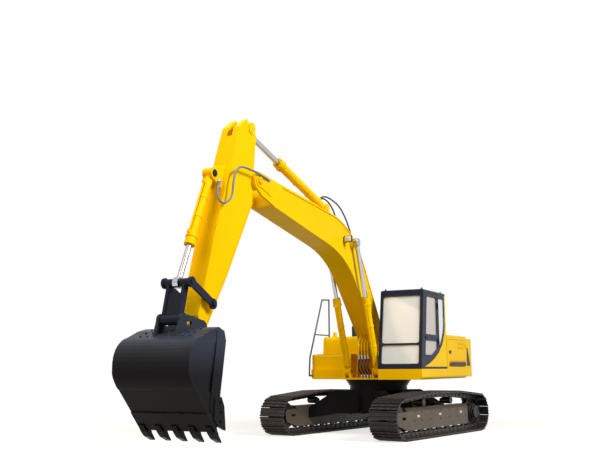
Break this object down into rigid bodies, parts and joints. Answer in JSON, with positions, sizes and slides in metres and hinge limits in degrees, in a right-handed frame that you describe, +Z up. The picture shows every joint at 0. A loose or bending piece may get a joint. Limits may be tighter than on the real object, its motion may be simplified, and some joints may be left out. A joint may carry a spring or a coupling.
{
  "type": "crawler excavator",
  "caption": "Tracked excavator with a swinging house, hollow cab, cranked boom, arm and toothed bucket worked by hydraulic cylinders, for digging and loading.",
  "frame": {"origin": "swing axis on the ground", "axes": "+X forward along the house, +Y to the cab side, +Z up"},
  "size_m": [10.557, 3.7402, 5.348],
  "materials": {
    "yellow_paint": "glossy work-machine paint, lightly worn",
    "slate_paint": "dark blue-black paint",
    "frame_paint": "dark grey paint, dusty",
    "track_steel": "dark rolled and forged steel with polished edges",
    "pin_steel": "bare steel",
    "rod_chrome": "hard chrome",
    "weight_iron": "yellow paint on cast iron",
    "engine_alloy": "dull alloy, stands for a mixed assembly",
    "bucket_steel": "dark slate paint, scuffed",
    "pane": "clear tinted glass",
    "hose_rubber": "black hydraulic hose",
    "seat_cloth": "black woven cloth",
    "trim_plastic": "moulded plastic",
    "rail_paint": "grey tube paint"
  },
  "bodies": {
    "undercarriage": {"center_frame": "frame_paint", "track_frame_left": "frame_paint", "track_frame_right": "frame_paint", "track_left": "track_steel", "track_right": "track_steel", "sprockets": "track_steel", "idlers": "track_steel", "lower_rollers": "track_steel", "upper_rollers": "track_steel", "swing_bearing": "slate_paint"},
    "house": {"main_frame": "yellow_paint", "house_pins": "pin_steel", "counterweight": "weight_iron", "engine": "engine_alloy", "engine_housing": "yellow_paint", "fuel_tank": "yellow_paint", "filler_cap": "yellow_paint", "tool_box": "yellow_paint", "handrail": "rail_paint", "exhaust": "frame_paint", "cab_floor": "slate_paint", "cab_roof": "slate_paint", "cab_front": "slate_paint", "cab_right": "slate_paint", "cab_rear": "yellow_paint", "cab_left": "yellow_paint", "cab_quarter": "slate_paint", "cab_glass": "pane", "seat": "seat_cloth", "consoles": "trim_plastic", "foot_hoses": "hose_rubber"},
    "cab_door": {"cab_door": "slate_paint", "door_glass": "pane"},
    "hood": {"hood": "yellow_paint"},
    "left_side_door": {"left_side_door": "yellow_paint"},
    "right_side_door": {"right_side_door": "yellow_paint"},
    "boom": {"boom": "yellow_paint", "boom_pins": "pin_steel", "boom_pipes": "frame_paint", "work_lamp": "pin_steel", "arm_hoses": "hose_rubber"},
    "boom_barrels": {"boom_barrels": "yellow_paint"},
    "boom_rods": {"boom_rods": "rod_chrome"},
    "arm_barrel": {"arm_barrel": "yellow_paint"},
    "arm_rod": {"arm_rod": "rod_chrome"},
    "arm": {"arm": "yellow_paint", "arm_pins": "pin_steel"},
    "bucket_barrel": {"bucket_barrel": "yellow_paint"},
    "bucket_rod": {"bucket_rod": "rod_chrome"},
    "idler_links": {"idler_links": "slate_paint"},
    "bucket_link": {"bucket_link": "slate_paint"},
    "bucket": {"bucket": "bucket_steel", "teeth": "bucket_steel"}
  },
  "joints": [
    {"name": "swing", "type": "hinge", "parent": "undercarriage", "child": "house", "pos_m": [0, 0, 1.122], "axis": [0, 0, 1], "continuous": true},
    {"name": "cab_door", "type": "hinge", "parent": "house", "child": "cab_door", "pos_m": [-0.03, 1.37, 2.1], "axis": [0, 0, 1], "range_deg": [0, 165]},
    {"name": "hood", "type": "hinge", "parent": "house", "child": "hood", "pos_m": [-1.16, 0, 2.063], "axis": [0, 1, 0], "range_deg": [0, 70]},
    {"name": "left_side_door", "type": "hinge", "parent": "house", "child": "left_side_door", "pos_m": [-1.9, 1.37, 1.67], "axis": [0, 0, 1], "range_deg": [0, 100]},
    {"name": "right_side_door", "type": "hinge", "parent": "house", "child": "right_side_door", "pos_m": [-1.9, -1.37, 1.67], "axis": [0, 0, -1], "range_deg": [0, 100]},
    {"name": "boom", "type": "hinge", "parent": "house", "child": "boom", "pos_m": [0.238, 0, 1.874], "axis": [0, -1, 0], "range_deg": [-67, 36], "deforming": ["foot_hoses"]},
    {"name": "boom_barrels", "type": "hinge", "parent": "house", "child": "boom_barrels", "pos_m": [0.824, 0, 1.285], "axis": [0, -1, 0], "range_deg": [-63.7, 34.4]},
    {"name": "boom_rods", "type": "slide", "parent": "boom_barrels", "child": "boom_rods", "axis": [0.3419, 0, 0.9397], "range_m": [-0.876, 0.473]},
    {"name": "arm", "type": "hinge", "parent": "boom", "child": "arm", "pos_m": [5.35567, 0, 4.3701], "axis": [0, 1, 0], "range_deg": [-56, 54], "deforming": ["arm_hoses"]},
    {"name": "arm_barrel", "type": "hinge", "parent": "boom", "child": "arm_barrel", "pos_m": [2.54981, 0, 4.40786], "axis": [0, 1, 0], "range_deg": [-6.3, 6.1]},
    {"name": "arm_rod", "type": "slide", "parent": "arm_barrel", "child": "arm_rod", "axis": [0.963, 0, 0.2695], "range_m": [-0.728, 0.702]},
    {"name": "bucket", "type": "hinge", "parent": "arm", "child": "bucket", "pos_m": [6.88821, 0, 1.91755], "axis": [0, 1, 0], "range_deg": [-60, 105]},
    {"name": "idler_links", "type": "hinge", "parent": "arm", "child": "idler_links", "pos_m": [6.66782, 0, 2.27629], "axis": [0, 1, 0], "range_deg": [-43.7, 76.1]},
    {"name": "bucket_link", "type": "hinge", "parent": "idler_links", "child": "bucket_link", "pos_m": [7.20759, 0, 2.54731], "axis": [0, 1, 0], "range_deg": [-42.5, 24.5]},
    {"name": "bucket_barrel", "type": "hinge", "parent": "arm", "child": "bucket_barrel", "pos_m": [6.45386, 0, 4.2826], "axis": [0, 1, 0], "range_deg": [-2.6, 4.3]},
    {"name": "bucket_rod", "type": "slide", "parent": "bucket_barrel", "child": "bucket_rod", "axis": [0.3984, 0, -0.9172], "range_m": [-0.386, 0.671]}
  ],
  "couplings": [
    {"joint": "boom_barrels", "follows": "boom", "ratio": 0.9438},
    {"joint": "boom_rods", "follows": "boom", "m_per_rad": 0.74445},
    {"joint": "arm_barrel", "follows": "arm", "ratio": 0.1053},
    {"joint": "arm_rod", "follows": "arm", "m_per_rad": 0.7397},
    {"joint": "idler_links", "follows": "bucket", "ratio": 0.72},
    {"joint": "bucket_link", "follows": "bucket", "ratio": -0.4},
    {"joint": "bucket_barrel", "follows": "bucket", "ratio": 0.038},
    {"joint": "bucket_rod", "follows": "bucket", "m_per_rad": 0.363}
  ]
}
